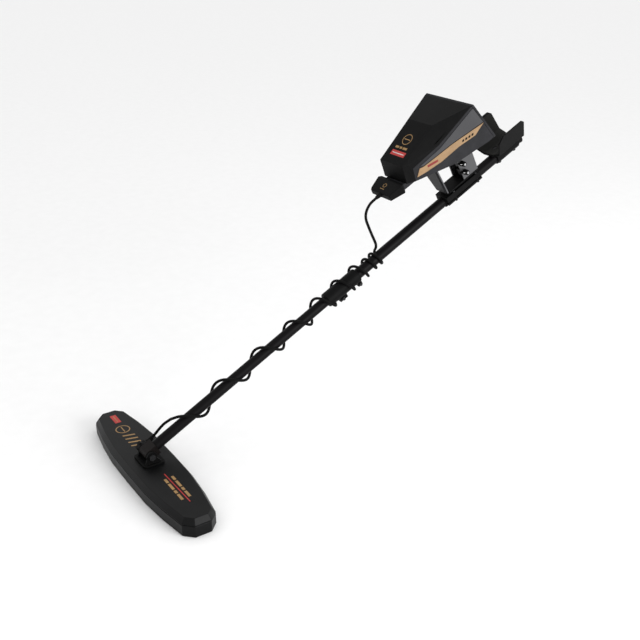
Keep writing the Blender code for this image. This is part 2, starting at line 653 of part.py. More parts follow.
def front_leg():
    """Flared plate that rises from the base plate to the box, and its grip pad."""
    foot_u = BASE_U[0]
    back_foot = BASE_S[0] - GAP
    rise = 0.0885
    top_back, top_front = back_foot - LEG_LEAN * rise, back_foot - LEG_THICK - LEG_LEAN * rise
    side = [(back_foot - LEG_THICK, foot_u), (back_foot, foot_u),
            (top_back, floor_height(top_back) - GAP), (top_front, floor_height(top_front) - GAP)]
    top_u = 0.115
    flare = [(LEG_HALF_WIDTH[0], foot_u - 0.001), (LEG_HALF_WIDTH[1], top_u),
             (-LEG_HALF_WIDTH[1], top_u), (-LEG_HALF_WIDTH[0], foot_u - 0.001)]
    leg = built(extruded(side, -0.04, 0.04, SIDE),
                ("INTERSECT", extruded(flare, 0.80, 0.90, FRONT)))
    place(bevelled(leg, 0.0006, 1, 50), "front_leg", ALLOY, SHAFT)

    pad_thick = 0.0030
    front = back_foot - LEG_THICK - GAP
    low_u, high_u = foot_u + 0.0040, 0.1060
    at = [front - LEG_LEAN * (u - foot_u) * rise / (floor_height(top_front) - GAP - foot_u)
          for u in (low_u, high_u)]
    pad_side = [(at[0] - pad_thick, low_u), (at[0], low_u), (at[1], high_u), (at[1] - pad_thick, high_u)]
    inset = 0.0012
    pad_flare = [(LEG_HALF_WIDTH[0] - inset, foot_u - 0.001), (LEG_HALF_WIDTH[1] - inset, top_u),
                 (-LEG_HALF_WIDTH[1] + inset, top_u), (-LEG_HALF_WIDTH[0] + inset, foot_u - 0.001)]
    pad = built(extruded(pad_side, -0.04, 0.04, SIDE),
                ("INTERSECT", extruded(pad_flare, 0.80, 0.90, FRONT)))
    place(bevelled(pad, 0.0008, 1, 50), "front_leg_pad", RUBBER, SHAFT)


def base_and_rear_leg():
    base = block((-BASE_HALF_WIDTH, BASE_S[0], BASE_U[0]), (BASE_HALF_WIDTH, BASE_S[1], BASE_U[1]))
    place(bevelled(base, 0.0006, 1, 50), "base_plate", ALLOY, SHAFT)
    start, end = REAR_LEG_S
    half, wall = REAR_LEG_HALF_WIDTH, REAR_LEG_WALL
    channel = [(half, start), (half, end), (-half, end), (-half, start),
               (-half + wall, start), (-half + wall, end - wall), (half - wall, end - wall),
               (half - wall, start)]
    steps = [("DIFFERENCE", rod(0.0036, 0.0, 0.05, ALONG_X, (0.0, KNOB_S, u), 16)) for u in KNOB_U]
    roof = floor_height(start) - GAP
    leg = built(extruded(channel, BASE_U[1] + GAP, roof, PLAN), *steps)
    place(leg, "rear_leg", ALLOY, SHAFT)


def selectors():
    """Two rotary selector switches through the rear leg's cheek, each with a pointer knob."""
    cheek = REAR_LEG_HALF_WIDTH
    for word, u in zip(("upper", "lower"), KNOB_U):
        centre = (0.0, KNOB_S, u)
        boss = [(0.0, cheek + 0.0112), (0.0048, cheek + 0.0112), (0.0058, cheek + 0.0100),
                (0.0064, cheek + 0.0010), (0.0, cheek + 0.0010)]
        wing = [(0.0, -0.0026), (KNOB_REACH - 0.0020, -0.0020), (KNOB_REACH, 0.0),
                (KNOB_REACH - 0.0020, 0.0020), (0.0, 0.0026)]
        turn = Matrix.Rotation(KNOB_LEAN, 4, "X") @ SIDE
        pointer = extruded(wing, cheek + 0.0016, cheek + 0.0096, turn)
        pointer.data.transform(Matrix.Translation(centre))
        knob = built(turned_solid(boss, ALONG_X, centre),
                     ("UNION", pointer),
                     ("DIFFERENCE", rod(0.0016 + GAP, 0.0, cheek + 0.0070, ALONG_X, centre, 12)))
        place(knob, "selector_knob_" + word, BLACK, SHAFT)
        body = block((cheek - REAR_LEG_WALL - 0.0125, KNOB_S - 0.0060, u - 0.0065),
                     (cheek - REAR_LEG_WALL - GAP, KNOB_S + 0.0075, u + 0.0065))
        bush = rod(0.0033, cheek - 0.006, cheek + 0.0004, ALONG_X, centre, 12)
        spindle = rod(0.0016, cheek - 0.006, cheek + 0.0062, ALONG_X, centre, 12)
        switch = built(body, ("UNION", bush), ("UNION", spindle))
        place(switch, "selector_switch_" + word, GREY, SHAFT)


# ---------------------------------------------------------------- control box
def rear_at(u, offset):
    """Where the raked rear face, moved forward by offset square to it, is at a height."""
    top, low = Vector(BOX_ROOF[0]), Vector(BOX_FLOOR[-1])
    run = low - top
    return top.x + run.x * (u - top.y) / run.y - offset * run.length / abs(run.y)


def box_profile(offset, rear_offset):
    """The box's side outline, pulled in by offset, with its rear face moved forward."""
    nose = [(s + offset, u) for s, u in (BOX_ROOF[2], BOX_FLOOR[0])]
    slope = (BOX_ROOF[1][1] - BOX_ROOF[2][1]) / (BOX_ROOF[1][0] - BOX_ROOF[2][0])
    roof, floor = BOX_ROOF[0][1] - offset, BOX_FLOOR[-1][1] + offset
    return [(rear_at(floor, rear_offset), floor), (rear_at(roof, rear_offset), roof),
            (BOX_ROOF[1][0], roof),
            (nose[0][0], nose[0][1] - offset + slope * offset), (nose[1][0], nose[1][1] + offset),
            (BOX_FLOOR[1][0], BOX_FLOOR[1][1] + offset), (BOX_FLOOR[2][0], BOX_FLOOR[2][1] + offset)]


def box_plan(offset):
    (flank_x, flank_s), (rear_x, rear_s) = BOX_FLANK_START, BOX_FLANK_END
    half = [(BOX_HALF_NOSE - offset, 0.7400), (BOX_HALF_NOSE - offset, BOX_NOSE_S),
            (flank_x - offset, flank_s), (rear_x - offset, rear_s), (rear_x - offset, 0.9900)]
    return mirrored(half)


def shoulder(side, offset):
    """The wedge taken off each upper side: its two faces meet in a line from the fold to the crease."""
    fold, crease = Vector(SHOULDER_FOLD), Vector(SHOULDER_CREASE)
    along = crease - fold
    corners = []
    for end in (Vector(), 1.4 * (Vector(SHOULDER_NOSE) - fold), 1.15 * (Vector(SHOULDER_REAR) - fold)):
        for reach in (-0.4, 1.6):
            corner = fold + end + reach * along
            corners += [corner, Vector((0.1500, corner.y, corner.z))]
    shape = bmesh.new()
    for x, s, u in corners:
        shape.verts.new((side * (x - 1.2 * offset), s, u))
    bmesh.ops.convex_hull(shape, input=shape.verts)
    bmesh.ops.recalc_face_normals(shape, faces=shape.faces)
    return from_bmesh(shape)


def box_solid(offset, rear_offset):
    """The whole box as one solid, pulled in by offset."""
    return built(extruded(box_profile(offset, rear_offset), -0.10, 0.10, SIDE),
                 ("INTERSECT", extruded(box_plan(offset), 0.05, 0.25, PLAN)),
                 ("DIFFERENCE", shoulder(1, offset)),
                 ("DIFFERENCE", shoulder(-1, offset)))


def above_crease(shift):
    """The space taken by the black top shell: above the flank's crease and round the nose."""
    crease = [(0.9600, 0.2075), (0.8470, 0.1655), (0.7765, 0.1525), (0.7700, 0.1000)]
    crease = [(s - shift, u + shift) for s, u in crease]
    return extruded([*crease, (0.7000, 0.1000), (0.7000, 0.2600), (1.0000, 0.2600)], -0.12, 0.12, SIDE)


def housing():
    rear = BEZEL_THICK + GAP
    shell = built(box_solid(0.0, rear), ("DIFFERENCE", box_solid(BOX_WALL, -0.02)))
    top = built(copy_of(shell), ("INTERSECT", above_crease(GAP)))
    place(top, "housing_top_shell", BLACK, SHAFT, 12.0)
    lower = built(shell, ("DIFFERENCE", above_crease(0.0)))
    place(lower, "housing_lower_shell", GREY, SHAFT, 12.0)


def flank_plate(outline, thick, name, paint, side):
    """A thin plate on a flank, drawn by its (s, u) outline."""
    (x0, s0), (x1, s1) = BOX_FLANK_START, BOX_FLANK_END
    taper = math.atan2(x1 - x0, s1 - s0)
    stretch = 1 / math.cos(taper)
    local = [((s - s0) * stretch, u) for s, u in outline]
    made = extruded(local, GAP, GAP + thick, SIDE)
    if side < 0:
        made.data.transform(Matrix.Scale(-1, 4, (1, 0, 0)))
        made.data.flip_normals()
    turn = Matrix.Rotation(-side * taper, 4, "Z")
    made.data.transform(Matrix.Translation((side * x0, s0, 0.0)) @ turn)
    place(made, name, paint, SHAFT)


def flank_trim():
    edge = BEZEL_THICK + 2 * GAP
    band_top = [(rear_at(0.1520, edge), 0.1520), (0.8760, 0.1500), (0.8330, 0.1455), (0.8000, 0.1425),
                (0.7900, 0.1440)]
    band_low = [(0.7780, 0.1290), (0.8000, 0.1278), (0.8400, 0.1282), (0.8880, 0.1358), (0.9310, 0.1370),
                (0.9430, 0.1445)]
    panel = [(rear_at(0.1960, edge), 0.1960), (0.8480, 0.1585), (0.7930, 0.1478), (0.8000, 0.1445),
             (0.8330, 0.1475), (0.8760, 0.1520), (rear_at(0.1545, edge), 0.1545)]
    for side, word in ((1, "left"), (-1, "right")):
        flank_plate(panel, 0.0009, "side_panel_" + word, LIGHT, side)
        flank_plate([*band_top, *band_low], 0.0009, "side_band_" + word, TAN, side)


def rear_frame():
    """Local frame of the rear face: X to the user's right, Y up the face, Z out of it."""
    top, low = Vector(BOX_ROOF[0]), Vector(BOX_FLOOR[-1])
    middle = (top + low) / 2
    up = (top - low).normalized()
    out = Vector((up.y, -up.x))
    matrix = Matrix(((-1, 0, 0, 0), (0, up.x, out.x, middle.x), (0, up.y, out.y, middle.y),
                     (0, 0, 0, 1)))
    return empty("rear_face_frame", matrix, SHAFT), (top - low).length


def rear_face():
    frame, tall = rear_frame()
    wide = 2 * BOX_HALF_REAR
    opening = rounded_rectangle(PANEL_SIZE[0] + 2 * GAP, PANEL_SIZE[1] + 2 * GAP, 0.005)
    bezel = extruded(rounded_rectangle(wide + 0.0010, tall, 0.0020, steps=2), -BEZEL_THICK, 0.0, PLAN,
                     (opening,))
    place(bezel, "rear_bezel", LIGHT, frame)
    keys = [rounded_rectangle(KEY_SIZE[0] + 0.0008, KEY_SIZE[1] + 0.0008, 0.0020, (x, KEY_Y), 2)
            for x in KEY_X]
    power = arc((POWER_X, KEY_Y), POWER_RADIUS + 0.0004, 0, 345, 23)
    window = rounded_rectangle(WINDOW_SIZE[0] + 2 * GAP, WINDOW_SIZE[1] + 2 * GAP, 0.003,
                               (0.0, WINDOW_Y), 3)
    panel = extruded(rounded_rectangle(*PANEL_SIZE, 0.005), -0.0042, -0.0015, PLAN,
                     (window, power, *keys))
    place(panel, "control_panel", BLACK, frame)
    glass = extruded(rounded_rectangle(*WINDOW_SIZE, 0.003, (0.0, WINDOW_Y), 3), -0.0042, -0.0017, PLAN)
    place(glass, "display_window", GLASS, frame)
    for number, x in enumerate(KEY_X, 1):
        key = extruded(rounded_rectangle(*KEY_SIZE, 0.0020, (x, KEY_Y), 2), -0.0070, 0.0002, PLAN)
        place(bevelled(key, 0.0005, 1, 60), f"key_{number}", RUBBER, frame)
    button = rod(POWER_RADIUS, -0.0070, 0.0006, PLAN, (POWER_X, KEY_Y, 0.0), 24)
    place(bevelled(button, 0.0006, 1, 60), "power_button", STEEL, frame)
    lcd = block((-0.0480, WINDOW_Y - 0.0270, -0.0110), (0.0480, WINDOW_Y + 0.0270, -0.0042 - GAP))
    place(lcd, "lcd_module", BOARD, frame)
    board = block((-0.0580, -0.0360, -0.0150), (0.0580, 0.0400, -0.0134))
    place(board, "main_board", BOARD, frame)


def box_insides():
    first, *others = [rod(0.0095, 0.8600, 0.9250, ALONG_S, (x, 0.0, 0.1185), 20)
                      for x in (-0.0280, -0.0093, 0.0093, 0.0280)]
    place(built(first, *[("UNION", cell) for cell in others]), "battery_pack", CELL, SHAFT)
    cone = [(0.0, 0.1520), (0.0190, 0.1520), (0.0190, 0.1490), (0.0110, 0.1360), (0.0110, 0.1300),
            (0.0, 0.1300)]
    place(turned_solid(cone, PLAN, (0.0, 0.8900, 0.0), 24), "speaker", GREY, SHAFT)


def headphone_jack():
    """Headphone socket in the right flank."""
    (x0, s0), (x1, s1) = BOX_FLANK_START, BOX_FLANK_END
    taper = math.atan2(x1 - x0, s1 - s0)
    s = 0.9200
    ring = [(0.0055, 0.0030), (0.0055, GAP), (0.0026, GAP), (0.0026, 0.0030)]
    x = x0 + (x1 - x0) * (s - s0) / (s1 - s0)
    outward = Matrix.Rotation(taper, 4, "Z") @ Matrix.Rotation(-math.pi / 2, 4, "Y")
    place(turned(ring, outward, (-x, s, 0.1180), 20), "headphone_jack", STEEL, SHAFT)


# ---------------------------------------------------------------- plug
def plug_tail():
    """Where the cable meets the plug's strain relief."""
    return Vector((0.0, 0.6925, 0.1240))


def plug_axis():
    return Vector((0.0, 1.0, 0.05)).normalized()


def plug():
    socket = [(PLUG_BACK + GAP, 0.1140), (PLUG_BACK + GAP, 0.1280), (0.7522, 0.1280),
              (0.7709, 0.1220), (0.7850, 0.11925), (0.7850, 0.1140)]
    place(bevelled(extruded(socket, -0.0300, 0.0300, SIDE), 0.0006, 1, 50), "socket_block", GREY, SHAFT)
    side = [(PLUG_FRONT, 0.1160), (PLUG_BACK, 0.1150), (PLUG_BACK, 0.1355), (PLUG_BACK - 0.0060, 0.1360),
            (0.7095, 0.1310), (PLUG_FRONT, 0.1275)]
    plan = mirrored([(0.0320, PLUG_FRONT - 0.002), (0.0415, 0.7390), (0.0345, PLUG_BACK + 0.001)])
    body = built(extruded(side, -0.05, 0.05, SIDE), ("INTERSECT", extruded(plan, 0.10, 0.16, PLAN)))
    place(bevelled(body, 0.0010, 1, 30), "plug_body", BLACK, SHAFT)
    axis = plug_axis()
    direction = axis.to_track_quat("Z", "Y").to_matrix().to_4x4()
    length = 0.0200
    profile = [(0.0, length), (0.0056, length), (0.0056, 0.0130), (CABLE_RADIUS + 0.0008, GAP), (0.0, GAP)]
    relief = built(turned_solid(profile, direction, plug_tail()),
                   ("DIFFERENCE", block((-0.05, PLUG_FRONT - GAP, 0.08), (0.05, 0.80, 0.16))))
    place(relief, "plug_strain_relief", RUBBER, SHAFT)


# ---------------------------------------------------------------- forearm cuff
def cuff_sheet(section, start, end, thick, outward):
    """A bent sheet from its section, with its upper front corners cut off."""
    shape = bmesh.new()
    half = list(section)
    line = [*[(-x, u) for x, u in reversed(half) if x > 0.0], *half]
    rows = [[shape.verts.new((x, s, u)) for x, u in line] for s in (start, end)]
    for i in range(len(line) - 1):
        shape.faces.new((rows[0][i], rows[0][i + 1], rows[1][i + 1], rows[1][i]))
    top = section[-1][1]
    for corner, normal in (((start + 0.0150, top), (-1.0, 1.0)), ((end - 0.0080, top), (1.0, 1.0))):
        bmesh.ops.bisect_plane(shape, geom=[*shape.verts, *shape.edges, *shape.faces],
                               plane_co=(0.0, *corner), plane_no=(0.0, *normal), clear_outer=True)
    made = from_bmesh(shape)
    solidify = made.modifiers.new("sheet", "SOLIDIFY")
    solidify.thickness = thick
    solidify.offset = outward
    solidify.use_even_offset = True
    return settle(made)


def cuff():
    start, end = CUFF_S
    shell = cuff_sheet(CUFF_SECTION, start, end, CUFF_THICK, 1.0)
    hole_at = [(0.0, s) for s in CUFF_BOLTS_S]
    holes = [("DIFFERENCE", rod(CUFF_BOLT_RADIUS + GAP, 0.0, 0.04, PLAN, (x, s, 0.0), 12))
             for x, s in hole_at]
    place(built(shell, *holes), "cuff_shell", BLACK, SHAFT, 60.0)
    lift = CUFF_THICK + GAP
    inner = [(x - 0.0010 * i, u + lift * (1.0 if i < 2 else 1.08)) for i, (x, u) in
             enumerate(CUFF_SECTION)]
    inner[0] = (0.0, inner[0][1])
    inner[-2] = (CUFF_SECTION[-2][0] - 0.0022, CUFF_SECTION[-2][1] + 0.0032)
    inner[-1] = (CUFF_SECTION[-1][0] - 0.0046, CUFF_SECTION[-1][1] - 0.0030)
    liner = cuff_sheet(inner, start + 0.002, end - 0.002, 0.0024, 1.0)
    holes = [("DIFFERENCE", rod(0.0052, 0.0, 0.04, PLAN, (x, s, 0.0), 16)) for x, s in hole_at]
    place(built(liner, *holes), "cuff_liner", FOAM, SHAFT, 60.0)
    sleeve_start, sleeve_end = CUFF_SLEEVE_S
    section = [(0.0150, 0.0153), (-0.0150, 0.0153), (-0.0150, -0.0040),
               *arc((0, 0), 0.0150, 195, 345, 10), (0.0150, -0.0040)]
    holes = [("DIFFERENCE", rod(CUFF_BOLT_RADIUS + GAP, -0.04, 0.04, PLAN, (x, s, 0.0), 12))
             for x, s in hole_at]
    sleeve = built(extruded(section, sleeve_start, sleeve_end, FRONT),
                   ("DIFFERENCE", rod(UPPER_RADIUS + GAP, sleeve_start - 0.01, sleeve_end + 0.01,
                                      ALONG_S, segments=ROUND)), *holes)
    place(sleeve, "cuff_sleeve", BLACK, SHAFT)
    tops = CUFF_SECTION[0][1] + CUFF_THICK
    for word, (x, s) in zip(("front", "rear"), hole_at):
        bolt = built(rod(CUFF_BOLT_RADIUS, -0.0180, tops + 0.001, PLAN, (x, s, 0.0), 12),
                     ("UNION", rod(0.0044, tops + GAP, tops + 0.0024, PLAN, (x, s, 0.0), 16)),
                     ("UNION", rod(0.0044, -0.0188, -0.0150 - GAP, PLAN, (x, s, 0.0), 6)))
        place(bolt, "cuff_bolt_" + word, STEEL, SHAFT)


coil_shells()
winding("transmit_winding", 0.2080, 0.0300, 0.0030)
winding("receive_winding", 0.1150, 0.0210, 0.0028)
coil_bracket()
pivot_fittings()
coil_gland()
rod_yoke()
tubes()
clamp()
cable()
saddle()
front_leg()
base_and_rear_leg()
selectors()
housing()
flank_trim()
rear_face()
box_insides()
headphone_jack()
plug()
cuff()
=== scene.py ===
"""Fine surface of the metal detector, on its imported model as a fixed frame.

Metres. Most pieces are placed in the shaft frame of the CAD model: x across, s along the shaft
towards the rear and u square to it, or in the level frame of the search coil.
"""
import json
import math

import bmesh
import bpy
from mathutils import Matrix, Vector


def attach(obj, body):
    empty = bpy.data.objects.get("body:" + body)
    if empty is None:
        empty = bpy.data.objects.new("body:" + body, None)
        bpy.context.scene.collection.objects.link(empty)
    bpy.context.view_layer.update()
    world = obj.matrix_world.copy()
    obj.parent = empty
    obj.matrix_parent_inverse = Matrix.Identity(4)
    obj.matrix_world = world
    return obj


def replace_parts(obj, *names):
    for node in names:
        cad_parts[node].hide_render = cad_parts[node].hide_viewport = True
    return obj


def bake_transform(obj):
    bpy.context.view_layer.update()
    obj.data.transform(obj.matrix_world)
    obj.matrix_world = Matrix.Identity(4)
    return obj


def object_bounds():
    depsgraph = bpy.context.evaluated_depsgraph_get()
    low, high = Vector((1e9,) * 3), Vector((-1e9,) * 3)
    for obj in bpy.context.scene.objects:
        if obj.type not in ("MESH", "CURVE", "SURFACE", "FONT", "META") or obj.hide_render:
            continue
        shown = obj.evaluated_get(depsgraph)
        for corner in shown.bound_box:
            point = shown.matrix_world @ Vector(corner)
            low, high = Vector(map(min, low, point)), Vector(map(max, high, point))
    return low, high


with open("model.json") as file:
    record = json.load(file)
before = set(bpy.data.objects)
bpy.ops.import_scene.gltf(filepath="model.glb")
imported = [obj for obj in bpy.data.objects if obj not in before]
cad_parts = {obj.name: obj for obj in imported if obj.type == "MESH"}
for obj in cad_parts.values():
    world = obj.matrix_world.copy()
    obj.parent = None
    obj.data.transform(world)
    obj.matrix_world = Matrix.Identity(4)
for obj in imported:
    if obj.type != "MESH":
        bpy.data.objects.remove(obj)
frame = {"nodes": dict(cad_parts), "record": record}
cad_low, cad_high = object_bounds()

RAKE = math.radians(27.8)
ORIGIN = Vector((0.0, -0.71772, -0.44624))          # the shaft's axis above the coil
LEVEL = Matrix.Translation(ORIGIN)
SHAFT = LEVEL @ Matrix.Rotation(RAKE, 4, "X")
HANDLE, LOWER, COIL = "handle", "lower_shaft", "search_coil"
RIDES = {node: body for body, nodes in frame["record"]["behaviour"]["bodies"].items() for node in nodes}

# Places of the CAD model that the fine pieces start from, in the shaft frame unless it says otherwise.
COIL_TOP = -0.0214                                  # height of the coil's lid, in the level frame
LOWER_TUBE = (0.0110, 0.0100, 0.0143, 0.7300)       # outer radius, bore, start and end along the shaft
UPPER_TUBE = (0.0119, 0.0113, 0.5050, 1.0880)
ROOF_START, ROOF_SLOPE = (0.7577, 0.1688), (0.1013, 0.0346)
PLUG_START, PLUG_SLOPE = (0.7095, 0.1310), (0.0287, 0.0050)
FLANK_X, FLANK_S = 0.0425, 0.772                    # where the flank starts to widen
FLANK_TAPER, FLANK_STRETCH = 0.1803, 1.0161         # metres out per metre along, and length per metre along
PLATE_FACE = 0.0012                                 # how far the flank's plates stand out
KNOB_S, KNOB_U = 0.9085, {"upper": 0.0640, "lower": 0.0410}
KNOB_WING_X, KNOB_BOSS_X = 0.0296, 0.0312           # outer faces of a knob's pointer and boss
KNOB_LEAN = (-0.848, 0.530)                         # where the pointers aim at rest
REAR_TOP, REAR_LOW = (0.9477, 0.2034), (0.9770, 0.1040)
WINDOW_Y, WINDOW_FACE = 0.0150, -0.0017             # on the rear face: place up it, and height off it
KEY_Y, KEY_FACE = -0.0290, 0.0002
KEY_X = {"first": 0.040, "second": 0.014, "third": -0.012}
POWER_X, POWER_FACE = -0.0480, 0.0006


# ---------------------------------------------------------------- camera, and a maker of lights
def camera():
    """The camera, from its place and the directions of its right and back."""
    data = bpy.data.cameras.new("camera")
    data.sensor_width = 36.0
    data.lens = 50.64
    data.clip_start = 0.05
    data.clip_end = 50.0
    made = bpy.data.objects.new("camera", data)
    bpy.context.scene.collection.objects.link(made)
    made.location = ORIGIN + Vector((1.4624, -0.5742, 1.0015))
    right = Vector((0.5577, 0.8300, 0.0035)).normalized()
    back = Vector((0.7522, -0.5072, 0.4206)).normalized()
    up = back.cross(right).normalized()
    right = up.cross(back)
    made.rotation_mode = "QUATERNION"
    made.rotation_quaternion = Matrix((right, up, back)).transposed().to_quaternion()
    bpy.context.scene.camera = made


def area_light(name, place, aim, size, power):
    """A white rectangular light that faces the point it aims at."""
    data = bpy.data.lights.new(name, "AREA")
    data.shape = "RECTANGLE"
    data.size, data.size_y = size
    data.energy = power
    made = bpy.data.objects.new(name, data)
    bpy.context.scene.collection.objects.link(made)
    made.location = place
    made.rotation_euler = (Vector(aim) - Vector(place)).to_track_quat("-Z", "Y").to_euler()


camera()


# ---------------------------------------------------------------- cable
CABLE_RADIUS = 0.0030
STEPS_PER_TURN = 36
WIND_RADIUS, WIND_RADIUS_CLAMP, WIND_RADIUS_TIGHT = 0.0178, 0.0212, 0.0162
CROSSING = math.radians(37.4)                      # angle round the shaft of each station below
TURN_STATIONS = (0.103, 0.2175, 0.320, 0.4057, 0.4775, 0.536, 0.584, 0.613, 0.6315, 0.648)
TAIL_TURN, SPLIT_TURN, LAST_TURN = -0.18, 3.86, 8.70
CLAMP_START, CLAMP_END = 0.483, 0.574
BLEND_START, BLEND_END = 0.100, 0.470               # stations given with the wound length's two bodies; the cable is not stretched between them
PATH_STEP = 0.004
TAIL_ROUTE = ((-0.0610, 0.0322, -0.0116), (-0.0588, 0.0387, -0.0045), (-0.0550, 0.0485, 0.0080),
              (-0.0495, 0.0550, 0.0178), (-0.0400, 0.0592, 0.0275), (-0.0265, 0.0620, 0.0388))
LEAD_ROUTE = ((-0.0050, 0.6455, 0.0200), (0.0000, 0.6465, 0.0330), (0.0000, 0.6470, 0.0540),
              (0.0000, 0.6480, 0.0790), (0.0000, 0.6500, 0.0985), (0.0000, 0.6575, 0.1125),
              (0.0000, 0.6730, 0.1220), (0.0000, 0.6925, 0.1240))


def cubic(a, b, c, d, t):
    """A point between b and c of a smooth curve through four."""
    return 0.5 * (2 * b + (c - a) * t + (2 * a - 5 * b + 4 * c - d) * t * t
                  + (3 * b - a - 3 * c + d) * t ** 3)


def wind_station(turn):
    """Where along the shaft the cable is after so many turns."""
    last = len(TURN_STATIONS) - 1
    i = min(max(math.floor(turn), 0), last - 1)
    at = [TURN_STATIONS[min(max(k, 0), last)] for k in range(i - 1, i + 3)]
    if i == 0:
        at[0] = 2 * at[1] - at[2]
    if i == last - 1:
        at[3] = 2 * at[2] - at[1]
    return cubic(*at, turn - i)


def ease(value, low, high):
    """From 0 at low to 1 at high, level at both."""
    t = min(max((value - low) / (high - low), 0.0), 1.0)
    return t * t * (3 - 2 * t)


def wind_radius(station):
    """How far the cable's middle is from the shaft's axis: it widens over the clamp."""
    onto = ease(station, CLAMP_START - 0.036, CLAMP_START - 0.009)
    off = ease(station, CLAMP_END + 0.005, CLAMP_END + 0.030)
    radius = WIND_RADIUS + (WIND_RADIUS_CLAMP - WIND_RADIUS) * onto
    return radius + (WIND_RADIUS_TIGHT - WIND_RADIUS_CLAMP) * off


def wind_point(turn):
    """World point of the cable's middle after so many turns."""
    station = wind_station(turn)
    angle = CROSSING - 2 * math.pi * turn
    radius = wind_radius(station)
    return SHAFT @ Vector((radius * math.cos(angle), station, radius * math.sin(angle)))


def smooth_path(route, spacing):
    """Evenly spaced points on a smooth curve through a route."""
    points = [Vector(p) for p in route]
    points = [2 * points[0] - points[1], *points, 2 * points[-1] - points[-2]]
    fine = []
    for a, b, c, d in zip(points, points[1:], points[2:], points[3:]):
        fine += [cubic(a, b, c, d, i / 24) for i in range(24)]
    fine.append(points[-2])
    total = sum((b - a).length for a, b in zip(fine, fine[1:]))
    count = max(2, round(total / spacing))
    picked, walked = [fine[0]], 0.0
    for a, b in zip(fine, fine[1:]):
        step = (b - a).length
        while len(picked) < count and walked + step >= total / count * len(picked):
            picked.append(a.lerp(b, (total / count * len(picked) - walked) / step))
        walked += step
    return [*picked, fine[-1]]


def mesh_of(shape, name):
    """A mesh from a bmesh, which is freed."""
    mesh = bpy.data.meshes.new(name)
    shape.to_mesh(mesh)
    shape.free()
    return mesh


def link(mesh, name, body=None, paint=None, matrix=None):
    """A new object from a mesh; where a body is given, it rides on it."""
    made = bpy.data.objects.new(name, mesh)
    bpy.context.scene.collection.objects.link(made)
    if matrix is not None:
        made.matrix_world = matrix
    if paint is not None:
        mesh.materials.clear()
        mesh.materials.append(paint)
    if body is not None:
        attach(made, body)
    return made


def tube_mesh(points, radius, sides=16):
    """A round tube along points, closed at both ends, with its rings turned as little as possible."""
    shape = bmesh.new()
    normal = None
    rings = []
    for i, here in enumerate(points):
        ahead = (points[min(i + 1, len(points) - 1)] - points[max(i - 1, 0)]).normalized()
        if normal is None:
            normal = ahead.orthogonal().normalized()
        normal = (normal - ahead * normal.dot(ahead)).normalized()
        across = ahead.cross(normal)
        rings.append([shape.verts.new(here + radius * (math.cos(a) * normal + math.sin(a) * across))
                      for a in (2 * math.pi * k / sides for k in range(sides))])
    for first, second in zip(rings, rings[1:]):
        for k in range(sides):
            n = (k + 1) % sides
            shape.faces.new((first[k], first[n], second[n], second[k]))
    shape.faces.new(list(reversed(rings[0])))
    shape.faces.new(rings[-1])
    bmesh.ops.recalc_face_normals(shape, faces=shape.faces)
    mesh = mesh_of(shape, "tube")
    mesh.shade_smooth()
    mesh.set_sharp_from_angle(angle=math.radians(50))
    return mesh


def cable_paths():
    """World points of the three lengths: tail, wound and lead."""
    here = wind_point(TAIL_TURN)
    along = (wind_point(TAIL_TURN + 0.01) - wind_point(TAIL_TURN - 0.01)).normalized()
    tail = smooth_path([*[LEVEL @ Vector(p) for p in TAIL_ROUTE], here - along * 0.0080, here], PATH_STEP)
    turns = SPLIT_TURN - TAIL_TURN
    count = round(turns * STEPS_PER_TURN)
    wound = [wind_point(TAIL_TURN + turns * i / count) for i in range(count + 1)]
    turns = LAST_TURN - SPLIT_TURN
    count = round(turns * STEPS_PER_TURN)
    lead = [wind_point(SPLIT_TURN + turns * i / count) for i in range(count)]
    onward = smooth_path([wind_point(LAST_TURN - 0.07), wind_point(LAST_TURN),
                          *[SHAFT @ Vector(p) for p in LEAD_ROUTE]], PATH_STEP)
    onward = [p for p in onward if (p - onward[0]).length > (wind_point(LAST_TURN) - onward[0]).length]
    return tail, wound, [*lead, *onward]


def lay_cable(name, points, node, body=None, between=None):
    """One length of the cable, standing for its node: it rides on a body, or, where between is given, is
    baked in place and rides on none; what between holds is not used.
    """
    made = link(tube_mesh(points, CABLE_RADIUS), name, body, RUBBER)
    if between is not None:
        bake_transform(made)
    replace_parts(made, node)


def cables():
    tail, wound, lead = cable_paths()
    lay_cable("tail_cable", tail, "cable_tail", between=(COIL, LOWER, tail[2], tail[-2]))
    first, last = SHAFT @ Vector((0, BLEND_START, 0)), SHAFT @ Vector((0, BLEND_END, 0))
    lay_cable("wound_cable", wound, "cable_winding", between=(LOWER, HANDLE, first, last))
    lay_cable("lead_cable", lead, "cable_lead", HANDLE)


